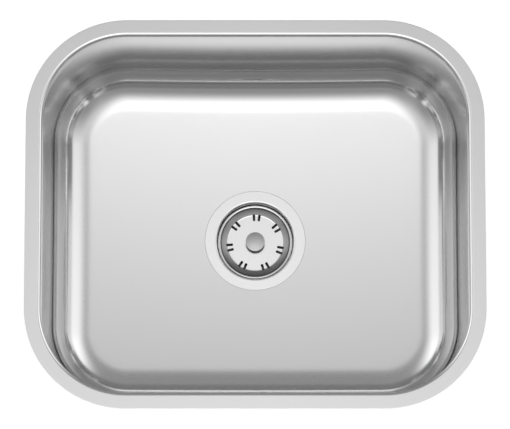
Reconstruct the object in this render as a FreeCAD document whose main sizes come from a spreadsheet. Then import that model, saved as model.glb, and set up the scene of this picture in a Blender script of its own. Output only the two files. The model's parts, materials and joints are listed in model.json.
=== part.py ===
import FreeCAD
import Part
import Sketcher
import math
import os

# A drop-in kitchen sink: one pressed bowl with its rim, the foam under the rim, swing-out
# clamps, and a basket strainer with its nuts, gaskets and tailpiece. Millimetres, +Z up.
# z = 0 is the worktop, and the Z axis runs down the middle of the drain.

rim_length = 500.0  # rim, left to right
rim_width = 428.0  # rim, front to back
rim_corner = 110.0  # outer corner radius of the rim
rim_flat = 14.0  # flat land of the rim
lip_radius = 4.0  # roll from the rim into the wall
steel = 1.0  # sheet of the bowl
bowl_depth = 181.5  # rim top to the floor at the drain
wall_draft = 3.0  # lean of the walls, degrees
floor_radius = 47.0  # bend between wall and floor
floor_curve = 2000.0  # radius of the dished floor
recess_land = 6.0  # floor made with the drain recess

seal_width = 8.0  # foam strip under the rim
seal_height = 2.0  # foam strip, squeezed
seal_inset = 2.0  # rim edge to foam strip

pad_start = 8.0  # drain recess to the sound pads
pad_margin = 10.0  # bend of the floor to the sound pads
pad_thick = 2.5  # sound pads
pad_sweep = 110.0  # arc of each sound pad, degrees

clamp_spacing = 220.0  # between the two clamps of a long side
bracket_top = 10.0  # worktop to the top of the bracket
bracket_drop = 45.0  # height of the bracket
bracket_width = 16.0  # bracket along the wall
bracket_sheet = 1.2  # bracket steel
bracket_bend = 0.8  # inside of a bracket bend
tab_round = 3.0  # corners of the bracket tabs
tab_reach = 4.0  # bracket tab beyond the screw axis
screw_offset = 5.5  # wall to screw axis at the top tab
screw_diameter = 4.0  # clamp screw
screw_clear = 0.08  # clamp screw in its holes, per side
screw_end = 3.0  # clamp screw above the top tab
screw_head = 7.2  # clamp screw head diameter
head_height = 2.6  # clamp screw head height
screw_slot = 1.0  # driver slot, width and depth
end_play = 0.15  # clamp screw, up and down
claw_depth = 45.0  # worktop to claw plate at rest
claw_reach = 22.0  # screw axis to claw tip
claw_width = 8.0  # claw plate
claw_thick = 2.5  # claw plate
claw_rise = 5.0  # tooth above the claw plate

flange_diameter = 113.0  # strainer flange
flange_thick = 1.2  # strainer flange
flange_seal = 1.0  # seal under the flange
recess_gap = 0.2  # flange edge to its recess
recess_inset = 0.4  # recess wall, narrower at its foot
drain_diameter = 90.0  # hole in the bowl
cup_bore = 86.0  # strainer cup
cup_wall = 1.2  # strainer cup
cup_depth = 31.0  # flange top to cup floor
cup_bend = 4.0  # bend at the cup floor
mouth_roll = 2.7  # roll from flange into cup
outlet_bore = 40.0  # outlet collar inside
outlet_diameter = 47.8  # outlet collar outside
outlet_drop = 24.0  # outlet collar below the cup floor
braze_reach = 4.0  # foot of the outlet collar, beyond its thread
braze_thick = 1.6  # foot of the outlet collar
cross_bar = 4.0  # bars over the outlet
cross_hub = 15.0  # ring in the middle of the cross
cross_rim = 1.5  # cup floor left round the outlet openings
stem_clear = 0.4  # stem in the cross, per side
nut_ring = 7.5  # locknut ring, radially
nut_height = 12.0  # locknut
nut_lugs = 6  # locknut lugs
nut_ease = 1.0  # rounded outer edges of the nuts
lug_reach = 4.5  # locknut lugs beyond the ring
lug_width = 9.0  # locknut lugs
thread_clear = 0.25  # nuts on their threads, per side
gasket_thick = 4.0  # rubber gasket under the bowl
gasket_width = 11.0  # rubber gasket under the bowl
slip_thick = 1.0  # friction ring
tail_diameter = 38.1  # tailpiece tube
tail_wall = 1.2  # tailpiece tube
tail_length = 100.0  # tailpiece below its flange
tail_flange = 1.5  # tailpiece flange
tail_washer = 1.5  # tailpiece washer
union_width = 56.0  # coupling nut across its flats
union_grip = 13.0  # coupling nut on the outlet thread
union_floor = 2.5  # coupling nut under the flange

basket_diameter = 85.0  # basket lip
basket_drop = 9.5  # flange top to basket lip
basket_height = 6.5  # basket lip to basket floor
basket_floor = 65.0  # basket floor diameter
basket_sheet = 0.8  # basket steel
lip_land = 2.8  # bead of the basket lip, radially
lip_rise = 1.2  # bead of the basket lip, upwards
lip_turn = 2.4  # turned-down edge, from the top of the lip
basket_curve = 10.3  # hollow of the basket wall
slot_pairs = 7  # pairs of slots
slot_width = 2.6  # one slot
slot_margin = 2.3  # slots to the bend of the basket floor
slot_length = 7.0  # slot, along the radius
slot_spread = 6.4  # slot to the middle of its pair, degrees
slot_turn = -2.7  # first pair off the middle, degrees
knob_diameter = 21.4  # knob
knob_height = 11.5  # knob above the basket floor
knob_crown = 0.7  # crown of the knob cap
cap_thick = 1.4  # edge of the knob cap
cap_reach = 0.4  # knob cap beyond the knob
stud_diameter = 6.0  # stem end in the knob
stud_length = 7.0  # stem end in the knob
stem_diameter = 7.6  # stem below its collar
stem_collar = 16.0  # stem collar under the basket
stem_tail = 14.0  # stem below the cup floor
stopper_diameter = 52.0  # rubber stopper
stopper_thick = 3.0  # rubber stopper plate
stopper_height = 6.8  # rubber stopper with its skirt
stopper_skirt = 4.0  # rubber stopper skirt, radially
stopper_play = 0.2  # stopper to the cup floor at rest
washer_diameter = 17.0  # washer under the stopper
washer_thick = 1.6  # washer under the stopper
fit_clear = 0.05  # stem in its own pieces, per side

doc = FreeCAD.newDocument("drop_in_sink")
sheet = doc.addObject("Spreadsheet::Sheet", "dim")
sizes = dict(
    rim_length=rim_length, rim_width=rim_width, rim_corner=rim_corner, rim_flat=rim_flat,
    lip_radius=lip_radius, steel=steel, bowl_depth=bowl_depth, wall_draft=wall_draft,
    floor_radius=floor_radius, floor_curve=floor_curve, recess_land=recess_land,
    seal_width=seal_width, seal_height=seal_height, seal_inset=seal_inset, pad_start=pad_start,
    pad_margin=pad_margin, pad_thick=pad_thick, pad_sweep=pad_sweep, clamp_spacing=clamp_spacing,
    bracket_top=bracket_top, bracket_drop=bracket_drop, bracket_width=bracket_width,
    bracket_sheet=bracket_sheet, bracket_bend=bracket_bend, tab_round=tab_round,
    tab_reach=tab_reach, screw_offset=screw_offset, screw_diameter=screw_diameter,
    screw_clear=screw_clear, screw_end=screw_end,
    screw_head=screw_head, head_height=head_height, screw_slot=screw_slot, end_play=end_play,
    claw_depth=claw_depth, claw_reach=claw_reach, claw_width=claw_width, claw_thick=claw_thick,
    claw_rise=claw_rise, flange_diameter=flange_diameter, flange_thick=flange_thick,
    flange_seal=flange_seal, recess_gap=recess_gap, recess_inset=recess_inset,
    drain_diameter=drain_diameter, cup_bore=cup_bore, cup_wall=cup_wall, cup_depth=cup_depth,
    cup_bend=cup_bend, mouth_roll=mouth_roll, outlet_bore=outlet_bore,
    outlet_diameter=outlet_diameter, outlet_drop=outlet_drop, braze_reach=braze_reach,
    braze_thick=braze_thick, cross_bar=cross_bar, cross_hub=cross_hub, cross_rim=cross_rim,
    stem_clear=stem_clear, nut_ring=nut_ring, nut_height=nut_height, nut_lugs=nut_lugs,
    nut_ease=nut_ease, lug_reach=lug_reach, lug_width=lug_width,
    thread_clear=thread_clear, gasket_thick=gasket_thick, gasket_width=gasket_width,
    slip_thick=slip_thick, tail_diameter=tail_diameter, tail_wall=tail_wall,
    tail_length=tail_length, tail_flange=tail_flange, tail_washer=tail_washer,
    union_width=union_width, union_grip=union_grip, union_floor=union_floor,
    basket_diameter=basket_diameter, basket_drop=basket_drop, basket_height=basket_height,
    basket_floor=basket_floor, basket_sheet=basket_sheet, lip_land=lip_land, lip_rise=lip_rise,
    lip_turn=lip_turn, basket_curve=basket_curve,
    slot_pairs=slot_pairs, slot_width=slot_width, slot_margin=slot_margin, slot_length=slot_length,
    slot_spread=slot_spread, slot_turn=slot_turn, knob_diameter=knob_diameter,
    knob_height=knob_height, knob_crown=knob_crown, cap_thick=cap_thick,
    cap_reach=cap_reach, stud_diameter=stud_diameter,
    stud_length=stud_length, stem_diameter=stem_diameter, stem_collar=stem_collar,
    stem_tail=stem_tail, stopper_diameter=stopper_diameter, stopper_thick=stopper_thick,
    stopper_height=stopper_height, stopper_skirt=stopper_skirt, stopper_play=stopper_play,
    washer_diameter=washer_diameter, washer_thick=washer_thick, fit_clear=fit_clear,
)
for row, (alias, size) in enumerate(sizes.items(), start=1):
    sheet.set(f"A{row}", alias)
    sheet.set(f"B{row}", str(size))
    sheet.setAlias(f"B{row}", alias)
doc.recompute()

# Places that several pieces share, as expressions over the sheet.
RIM_TOP = "(dim.seal_height + dim.steel)"
WALL_INSET = "(dim.rim_flat + dim.lip_radius * tan(45 - dim.wall_draft / 2))"
OPEN_LENGTH = f"(dim.rim_length - 2 * {WALL_INSET})"
OPEN_WIDTH = f"(dim.rim_width - 2 * {WALL_INSET})"
OPEN_CORNER = f"(dim.rim_corner - {WALL_INSET})"
SKIN = "(dim.steel / cos(dim.wall_draft))"
FLOOR_INSET = "(dim.bowl_depth * tan(dim.wall_draft) + dim.floor_radius * tan(45 - dim.wall_draft / 2))"
FLOOR_REACH = f"({OPEN_WIDTH} / 2 - {FLOOR_INSET})"
RECESS_RADIUS = "(dim.flange_diameter / 2 + dim.recess_gap + dim.recess_inset)"
FLANGE_TOP = f"({RIM_TOP} - dim.bowl_depth)"
RECESS_LAND = f"({RECESS_RADIUS} + dim.steel + dim.recess_land)"
FLOOR_CENTRE = f"({FLANGE_TOP} + sqrt(dim.floor_curve ^ 2 - {RECESS_RADIUS} ^ 2))"
STACK = "(dim.flange_thick + dim.flange_seal)"
CUP_OUTER = "(dim.cup_bore / 2 + dim.cup_wall)"
NUT_BORE = f"({CUP_OUTER} + dim.thread_clear)"
GASKET_TOP = f"(0 - {STACK} - dim.steel)"
NUT_TOP = f"({GASKET_TOP} - dim.gasket_thick - dim.slip_thick)"
CUP_FLOOR = "(0 - dim.cup_depth)"
CUP_FOOT = f"({CUP_FLOOR} - dim.cup_wall)"
OUTLET_END = f"({CUP_FLOOR} - dim.outlet_drop)"
TAIL_TOP = f"({OUTLET_END} - dim.tail_washer)"
DISH_FLOOR = "(0 - dim.basket_drop - dim.basket_height)"
CAP_FOOT = f"({DISH_FLOOR} + dim.knob_height - dim.knob_crown - dim.cap_thick)"
STOPPER_FOOT = f"({CUP_FLOOR} + dim.stopper_play)"
STOPPER_TOP = f"({STOPPER_FOOT} + dim.stopper_height)"
SCREW_AXIS = f"(dim.screw_offset - ({RIM_TOP} + dim.bracket_top) * tan(dim.wall_draft))"
TAB_END = f"({SCREW_AXIS} + dim.tab_reach)"
BRACKET_FOOT = "(0 - dim.bracket_top - dim.bracket_drop)"
SCREW_HOLE = "(dim.screw_diameter + 2 * dim.screw_clear)"


def number(expression):
    """The number an expression over the sheet comes to."""
    return float(sheet.evalExpression(expression))


def new_body(label):
    body = doc.addObject("PartDesign::Body", label)
    body.Label = label
    return body


def new_sketch(body, name, role, height="0"):
    """A sketch on one of the body's own origin planes, lifted off it by an expression."""
    plane = next(item for item in body.Origin.OriginFeatures if item.Role == role)
    sketch = body.newObject("Sketcher::SketchObject", name)
    sketch.AttachmentSupport = [(plane, "")]
    sketch.MapMode = "FlatFace"
    sketch.setExpression("AttachmentOffset.Base.z", height)
    return sketch


def drive(sketch, constraint, expression):
    """Add a dimension to a sketch and bind it to an expression."""
    index = sketch.addConstraint(constraint)
    sketch.setExpression(f"Constraints[{index}]", expression)


def pin_point(sketch, geometry, point, x, y):
    """Hold one point of a sketch at a driven place."""
    drive(sketch, Sketcher.Constraint("DistanceX", -1, 1, geometry, point, number(x)), x)
    drive(sketch, Sketcher.Constraint("DistanceY", -1, 1, geometry, point, number(y)), y)


def draw_circle(sketch, diameter, x="0", y="0"):
    centre = FreeCAD.Vector(number(x), number(y), 0)
    circle = Part.Circle(centre, FreeCAD.Vector(0, 0, 1), number(diameter) / 2)
    index = sketch.addGeometry(circle, False)
    drive(sketch, Sketcher.Constraint("Diameter", index, number(diameter)), diameter)
    pin_point(sketch, index, 3, x, y)


def draw_rounded_rectangle(sketch, length, width, radius):
    """A rectangle with round corners about the sketch's origin."""
    bend = number(radius)
    right = number(length) / 2 - bend
    back = number(width) / 2 - bend
    centres = [(right, -back), (right, back), (-right, back), (-right, -back)]
    corners = []
    for turn, (x, y) in enumerate(centres):
        circle = Part.Circle(FreeCAD.Vector(x, y, 0), FreeCAD.Vector(0, 0, 1), bend)
        start = (turn - 1) * math.pi / 2
        corners.append(sketch.addGeometry(Part.ArcOfCircle(circle, start, start + math.pi / 2), False))
    for turn in range(4):
        here = corners[turn]
        after = corners[(turn + 1) % 4]
        start = sketch.getPoint(here, 2)
        end = sketch.getPoint(after, 1)
        line = sketch.addGeometry(Part.LineSegment(start, end), False)
        sketch.addConstraint(Sketcher.Constraint("Tangent", here, 2, line, 1))
        sketch.addConstraint(Sketcher.Constraint("Tangent", line, 2, after, 1))
        sketch.addConstraint(Sketcher.Constraint("Vertical" if turn % 2 == 0 else "Horizontal", line))
    for other in corners[1:]:
        sketch.addConstraint(Sketcher.Constraint("Equal", corners[0], other))
    sketch.addConstraint(Sketcher.Constraint("Symmetric", corners[0], 3, corners[2], 3, -1, 1))
    drive(sketch, Sketcher.Constraint("Radius", corners[0], bend), radius)
    across = f"{length} - 2 * {radius}"
    along = f"{width} - 2 * {radius}"
    drive(sketch, Sketcher.Constraint("DistanceX", corners[2], 3, corners[1], 3, 2 * right), across)
    drive(sketch, Sketcher.Constraint("DistanceY", corners[0], 3, corners[1], 3, 2 * back), along)


def draw_profile(sketch, corners):
    """A closed outline through driven corners.

    Each corner is (x, y), or (x, y, {"round": r}) for a rounded corner, or
    (x, y, {"arc": r}) where an arc of that radius runs on to the next corner,
    bulging to the right of the way it goes, or to the left with "left": True.
    """
    spots = [FreeCAD.Vector(number(corner[0]), number(corner[1]), 0) for corner in corners]
    options = [corner[2] if len(corner) > 2 else {} for corner in corners]
    count = len(corners)
    lead_in = []
    lead_out = []
    for index in range(count):
        here = spots[index]
        cut = 0.0
        if "round" in options[index]:
            to_last = (spots[index - 1] - here).normalize()
            to_next = (spots[(index + 1) % count] - here).normalize()
            half = to_last.getAngle(to_next) / 2
            cut = number(options[index]["round"]) / math.tan(half)
            lead_in.append(here + to_last * cut)
            lead_out.append(here + to_next * cut)
        else:
            lead_in.append(here)
            lead_out.append(here)
    sides = []
    for index in range(count):
        start = lead_out[index]
        end = lead_in[(index + 1) % count]
        if "arc" in options[index]:
            radius = options[index]["arc"]
            sides.append(sketch.addGeometry(arc_between(start, end, options[index]), False))
            drive(sketch, Sketcher.Constraint("Radius", sides[index], number(radius)), radius)
        else:
            sides.append(sketch.addGeometry(Part.LineSegment(start, end), False))
    for index in range(count):
        last = sides[index - 1]
        after = sides[index]
        last_end = far_end(sketch, last, lead_in[index])
        after_start = far_end(sketch, after, lead_out[index])
        if "round" not in options[index]:
            sketch.addConstraint(Sketcher.Constraint("Coincident", last, last_end, after, after_start))
            pin_point(sketch, after, after_start, corners[index][0], corners[index][1])
            continue
        bend = sketch.addGeometry(corner_arc(spots[index], lead_in[index], lead_out[index]), False)
        first = far_end(sketch, bend, lead_in[index])
        second = far_end(sketch, bend, lead_out[index])
        point = sketch.addGeometry(Part.Point(spots[index]), True)
        sketch.addConstraint(Sketcher.Constraint("Tangent", last, last_end, bend, first))
        sketch.addConstraint(Sketcher.Constraint("Tangent", after, after_start, bend, second))
        sketch.addConstraint(Sketcher.Constraint("PointOnObject", point, 1, last))
        sketch.addConstraint(Sketcher.Constraint("PointOnObject", point, 1, after))
        pin_point(sketch, point, 1, corners[index][0], corners[index][1])
        radius = options[index]["round"]
        drive(sketch, Sketcher.Constraint("Radius", bend, number(radius)), radius)


def far_end(sketch, geometry, spot):
    """Which end of a line or arc, 1 or 2, lies on a spot."""
    gaps = [(sketch.getPoint(geometry, end) - spot).Length for end in (1, 2)]
    return 1 if gaps[0] < gaps[1] else 2


def arc_between(start, end, option):
    radius = number(option["arc"])
    chord = end - start
    side = FreeCAD.Vector(chord.y, -chord.x, 0).normalize()
    if option.get("left"):
        side = side * -1
    sagitta = radius - math.sqrt(radius ** 2 - (chord.Length / 2) ** 2)
    return Part.Arc(start, start + chord * 0.5 + side * sagitta, end)


def corner_arc(corner, start, end):
    middle = (start + end) * 0.5
    inward = (middle - corner).normalize()
    half = (start - corner).getAngle(inward)
    radius = (start - corner).Length * math.tan(half)
    reach = radius / math.sin(half)
    return Part.Arc(start, corner + inward * (reach - radius), end)


def pad(body, name, sketch, length, reverse=False, midplane=False):
    feature = body.newObject("PartDesign::Pad", name)
    feature.Profile = sketch
    feature.setExpression("Length", length)
    feature.Reversed = reverse
    feature.Midplane = midplane
    doc.recompute()
    return feature


def cut(body, name, sketch, length=None, reverse=False):
    """A pocket, through everything both ways unless it has a length."""
    before = body.Shape.Volume
    feature = body.newObject("PartDesign::Pocket", name)
    feature.Profile = sketch
    if length is None:
        feature.Type = "ThroughAll"
        feature.Midplane = True
    else:
        feature.setExpression("Length", length)
        feature.Reversed = reverse
    doc.recompute()
    if feature.Shape.Volume > before - 1e-6:
        raise ValueError(f"{name} cut nothing")
    return feature


def revolve(body, name, sketch, angle=None):
    feature = body.newObject("PartDesign::Revolution", name)
    feature.Profile = sketch
    feature.ReferenceAxis = (sketch, ["V_Axis"])
    feature.Angle = 360
    if angle is not None:
        feature.setExpression("Angle", angle)
        feature.Midplane = True
    doc.recompute()
    return feature


def turned(label, corners):
    """A body revolved from one outline of (radius, height) corners."""
    body = new_body(label)
    sketch = new_sketch(body, f"{label}_outline", "XZ_Plane")
    draw_profile(sketch, corners)
    revolve(body, f"{label}_turn", sketch)
    return body


def groove(body, name, sketch):
    """Cut away what a sketch sweeps in a turn about the vertical axis."""
    feature = body.newObject("PartDesign::Groove", name)
    feature.Profile = sketch
    feature.ReferenceAxis = (sketch, ["V_Axis"])
    feature.Angle = 360
    doc.recompute()
    return feature


def polar(body, name, feature, copies):
    axis = next(item for item in body.Origin.OriginFeatures if item.Role == "Z_Axis")
    pattern = body.newObject("PartDesign::PolarPattern", name)
    pattern.Originals = [feature]
    pattern.Axis = (axis, [""])
    pattern.Angle = 360
    pattern.setExpression("Occurrences", copies)
    body.Tip = pattern
    doc.recompute()
    return pattern


def bend_edges(body, name, test, radius):
    """Fillet every edge of the body that passes a test."""
    base = body.Tip
    names = [f"Edge{index}" for index, edge in enumerate(base.Shape.Edges, start=1) if test(edge)]
    feature = body.newObject("PartDesign::Fillet", name)
    feature.Base = (base, names)
    feature.setExpression("Radius", radius)
    doc.recompute()
    return feature


def faces_where(shape, test):
    return [f"Face{index}" for index, face in enumerate(shape.Faces, start=1) if test(face)]


def level(item, height):
    """True for an edge or face that lies flat at a height."""
    box = item.BoundBox
    return abs(box.ZMin - height) < 1e-4 and abs(box.ZMax - height) < 1e-4


def rim_depth(edge):
    """How far in from the rim's outer edge the middle of an edge lies."""
    first, last = edge.ParameterRange
    middle = edge.valueAt((first + last) / 2)
    corner = number("dim.rim_corner")
    across = abs(middle.x) - number("dim.rim_length") / 2 + corner
    along = abs(middle.y) - number("dim.rim_width") / 2 + corner
    outside = math.hypot(max(across, 0), max(along, 0))
    return corner - outside - min(max(across, along), 0)


def floor_at(radius, below="0"):
    """Height of the dished floor at a distance from the drain's axis, or of a skin below it."""
    return f"({FLOOR_CENTRE} - sqrt((dim.floor_curve + {below}) ^ 2 - ({radius}) ^ 2))"


def bowl_form(label, skin):
    """A solid as wide as the bowl's inside, or a skin wider: it leans, is dished and bent below."""
    body = new_body(label)
    plan = new_sketch(body, f"{label}_plan", "XY_Plane", RIM_TOP)
    wider = f"({skin} / cos(dim.wall_draft))"
    draw_rounded_rectangle(plan, f"({OPEN_LENGTH} + 2 * {wider})", f"({OPEN_WIDTH} + 2 * {wider})",
                           f"({OPEN_CORNER} + {wider})")
    block = pad(body, f"{label}_block", plan, "dim.bowl_depth + 3 * dim.steel", reverse=True)
    lean = body.newObject("PartDesign::Draft", f"{label}_lean")
    lean.Base = (block, faces_where(block.Shape, lambda face: face.BoundBox.ZLength > 1))
    lean.NeutralPlane = (block, faces_where(block.Shape, lambda face: level(face, number(RIM_TOP))))
    lean.setExpression("Angle", "dim.wall_draft")
    lean.Reversed = True
    doc.recompute()
    below = new_sketch(body, f"{label}_outline", "XZ_Plane")
    draw_profile(below, [
        ("0", floor_at("0", skin), {"arc": f"dim.floor_curve + {skin}"}),
        ("dim.rim_length", floor_at("dim.rim_length", skin)),
        ("dim.rim_length", f"{FLANGE_TOP} - 6 * dim.steel"),
        ("0", f"{FLANGE_TOP} - 6 * dim.steel"),
    ])
    groove(body, f"{label}_dish", below)
    bend_edges(body, f"{label}_bend", low_edge, f"dim.floor_radius + {skin}")
    return body


def make_bowl():
    """The pressed bowl: one form hollowed by another, then given its rim, lip and drain."""
    body = bowl_form("sink_bowl", "dim.steel")
    hollow = body.newObject("PartDesign::Boolean", "bowl_hollow")
    hollow.setObjects([bowl_form("bowl_inside", "0")])
    hollow.Type = "Cut"
    doc.recompute()
    top = number(RIM_TOP)
    land = new_sketch(body, "rim_plan", "XY_Plane", "dim.seal_height")
    draw_rounded_rectangle(land, "dim.rim_length", "dim.rim_width", "dim.rim_corner")
    draw_rounded_rectangle(land, OPEN_LENGTH, OPEN_WIDTH, OPEN_CORNER)
    pad(body, "rim", land, "dim.steel")
    under = number("dim.seal_height")
    near = number("dim.rim_flat") / 2
    bend_edges(body, "lip_under", lambda edge: level(edge, under) and rim_depth(edge) > near,
               "dim.lip_radius - dim.steel")
    bend_edges(body, "lip_over", lambda edge: level(edge, top) and rim_depth(edge) > near,
               "dim.lip_radius")
    hole = new_sketch(body, "recess_hole", "XY_Plane", f"{FLANGE_TOP} + 3 * dim.steel")
    draw_circle(hole, f"2 * {RECESS_LAND}")
    cut(body, "recess_cut", hole, "9 * dim.steel")
    recess = new_sketch(body, "recess_outline", "XZ_Plane")
    draw_profile(recess, recess_corners())
    revolve(body, "drain_recess", recess)
    return body


def low_edge(edge):
    """True for an edge round the foot of the walls, but not for the seam of the dished floor."""
    box = edge.BoundBox
    seam = abs(box.YMin) < 1e-3 and abs(box.YMax) < 1e-3
    return box.ZMax < number(f"{FLANGE_TOP} + dim.bowl_depth / 2") and not seam


def recess_corners():
    """The floor round the drain: its dish, then the recess for the flange, and the hole."""
    seat = f"({FLANGE_TOP} - {STACK})"
    foot = f"({RECESS_RADIUS} + dim.steel)"
    return [
        (RECESS_LAND, floor_at(RECESS_LAND), {"arc": "dim.floor_curve", "left": True}),
        (RECESS_RADIUS, FLANGE_TOP),
        (f"{RECESS_RADIUS} - dim.recess_inset", seat),
        ("dim.drain_diameter / 2", seat),
        ("dim.drain_diameter / 2", f"{seat} - dim.steel"),
        (f"{RECESS_RADIUS} - dim.recess_inset + dim.steel", f"{seat} - dim.steel"),
        (foot, floor_at(foot, "dim.steel"), {"arc": "dim.floor_curve + dim.steel"}),
        (RECESS_LAND, floor_at(RECESS_LAND, "dim.steel")),
    ]


def make_rim_seal():
    """The foam strip that lies between the rim and the worktop."""
    body = new_body("rim_seal")
    plan = new_sketch(body, "seal_plan", "XY_Plane")
    for inset in ("dim.seal_inset", "(dim.seal_inset + dim.seal_width)"):
        draw_rounded_rectangle(plan, f"(dim.rim_length - 2 * {inset})", f"(dim.rim_width - 2 * {inset})",
                               f"(dim.rim_corner - {inset})")
    pad(body, "seal_strip", plan, "dim.seal_height")
    return body


def make_sound_pads():
    """Two curved pads that cling to the underside of the dished floor."""
    inner = f"({RECESS_RADIUS} + dim.steel + dim.pad_start)"
    outer = f"({FLOOR_REACH} - dim.pad_margin)"
    low = "(dim.steel + dim.pad_thick)"
    pads = []
    for side, angle in (("right", 0), ("left", 180)):
        body = new_body(f"sound_pad_{side}")
        outline = new_sketch(body, f"pad_outline_{side}", "XZ_Plane")
        draw_profile(outline, [
            (outer, floor_at(outer, "dim.steel"), {"arc": "dim.floor_curve + dim.steel", "left": True}),
            (inner, floor_at(inner, "dim.steel")),
            (inner, floor_at(inner, low), {"arc": f"dim.floor_curve + {low}"}),
            (outer, floor_at(outer, low)),
        ])
        revolve(body, f"pad_turn_{side}", outline, "dim.pad_sweep")
        body.Placement.Rotation = FreeCAD.Rotation(FreeCAD.Vector(0, 0, 1), angle)
        pads.append(body)
    return group("sound_pads", pads)


def group(label, members):
    """Several separate solids that count as one sub-part."""
    compound = doc.addObject("Part::Compound", label)
    compound.Label = label
    compound.Links = members
    doc.recompute()
    return compound


# Each clamp stands on a straight stretch of wall. In its own frame x runs along the wall, y points
# away from it and z is up, with y = 0 on the outside of the wall at the height of the rim.
HALF_WALL_X = f"({OPEN_LENGTH} / 2 + {SKIN})"
HALF_WALL_Y = f"({OPEN_WIDTH} / 2 + {SKIN})"
CLAMPS = [
    ("back_left", 0, "0 - dim.clamp_spacing / 2", HALF_WALL_Y),
    ("back_right", 0, "dim.clamp_spacing / 2", HALF_WALL_Y),
    ("front_right", 180, "dim.clamp_spacing / 2", f"0 - {HALF_WALL_Y}"),
    ("front_left", 180, "0 - dim.clamp_spacing / 2", f"0 - {HALF_WALL_Y}"),
    ("left", 90, f"0 - {HALF_WALL_X}", "0"),
    ("right", 270, HALF_WALL_X, "0"),
]


def stand(body, angle, x, y):
    """Set a clamp piece down at its place on the wall."""
    body.Placement.Rotation = FreeCAD.Rotation(FreeCAD.Vector(0, 0, 1), angle)
    body.setExpression("Placement.Base.x", x)
    body.setExpression("Placement.Base.y", y)
    doc.recompute()


def make_bracket(place):
    """A bent steel bracket, welded to the wall, with a tab at each end for the screw."""
    body = new_body(f"bracket_{place}")
    side = new_sketch(body, f"bracket_side_{place}", "YZ_Plane")

    def wall(height, off="0"):
        return f"({height} - {RIM_TOP}) * tan(dim.wall_draft) + {off}"

    top = "(0 - dim.bracket_top)"
    draw_profile(side, [
        (wall(top), top, {"round": "dim.bracket_bend + dim.bracket_sheet"}),
        (TAB_END, top),
        (TAB_END, f"{top} - dim.bracket_sheet"),
        (wall(f"({top} - dim.bracket_sheet)", "dim.bracket_sheet"), f"{top} - dim.bracket_sheet",
         {"round": "dim.bracket_bend"}),
        (wall(f"({BRACKET_FOOT} + dim.bracket_sheet)", "dim.bracket_sheet"),
         f"{BRACKET_FOOT} + dim.bracket_sheet", {"round": "dim.bracket_bend"}),
        (TAB_END, f"{BRACKET_FOOT} + dim.bracket_sheet"),
        (TAB_END, BRACKET_FOOT),
        (wall(BRACKET_FOOT), BRACKET_FOOT, {"round": "dim.bracket_bend + dim.bracket_sheet"}),
    ])
    pad(body, f"bracket_strip_{place}", side, "dim.bracket_width", midplane=True)

    def tab_corner(edge):
        box = edge.BoundBox
        return box.YMin > number(TAB_END) - 1e-4 and box.XLength < 1e-4

    bend_edges(body, f"bracket_corners_{place}", tab_corner, "dim.tab_round")
    hole = new_sketch(body, f"bracket_hole_{place}", "XY_Plane", f"{BRACKET_FOOT} / 2")
    draw_circle(hole, SCREW_HOLE, "0", SCREW_AXIS)
    cut(body, f"bracket_holes_{place}", hole)
    return body


def make_screw(place):
    """The clamp screw: head below, a collar that keeps it in the bracket, and a slot."""
    label = f"clamp_screw_{place}"
    body = new_body(label)
    outline = new_sketch(body, f"screw_outline_{place}", "XZ_Plane", f"0 - {SCREW_AXIS}")
    head = f"({BRACKET_FOOT} - dim.end_play)"
    collar = f"({BRACKET_FOOT} + dim.bracket_sheet + dim.end_play)"
    draw_profile(outline, [
        ("0", "dim.screw_end - dim.bracket_top"),
        ("dim.screw_diameter / 2", "dim.screw_end - dim.bracket_top"),
        ("dim.screw_diameter / 2", f"{collar} + dim.screw_slot"),
        ("dim.screw_head / 2 - dim.screw_slot / 2", f"{collar} + dim.screw_slot"),
        ("dim.screw_head / 2 - dim.screw_slot / 2", collar),
        ("dim.screw_diameter / 2", collar),
        ("dim.screw_diameter / 2", head),
        ("dim.screw_head / 2", head),
        ("dim.screw_head / 2", f"{head} - dim.head_height * 2 / 3"),
        ("dim.screw_head / 2 - dim.head_height / 3", f"{head} - dim.head_height"),
        ("0", f"{head} - dim.head_height"),
    ])
    revolve(body, f"screw_turn_{place}", outline)
    slot = new_sketch(body, f"screw_slot_{place}", "XY_Plane", f"{head} - dim.head_height")
    half = "dim.screw_slot / 2"
    draw_profile(slot, [
        ("dim.screw_head", f"{SCREW_AXIS} - {half}"),
        ("dim.screw_head", f"{SCREW_AXIS} + {half}"),
        ("0 - dim.screw_head", f"{SCREW_AXIS} + {half}"),
        ("0 - dim.screw_head", f"{SCREW_AXIS} - {half}"),
    ])
    cut(body, f"screw_drive_{place}", slot, "dim.screw_slot", reverse=True)
    return body


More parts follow.
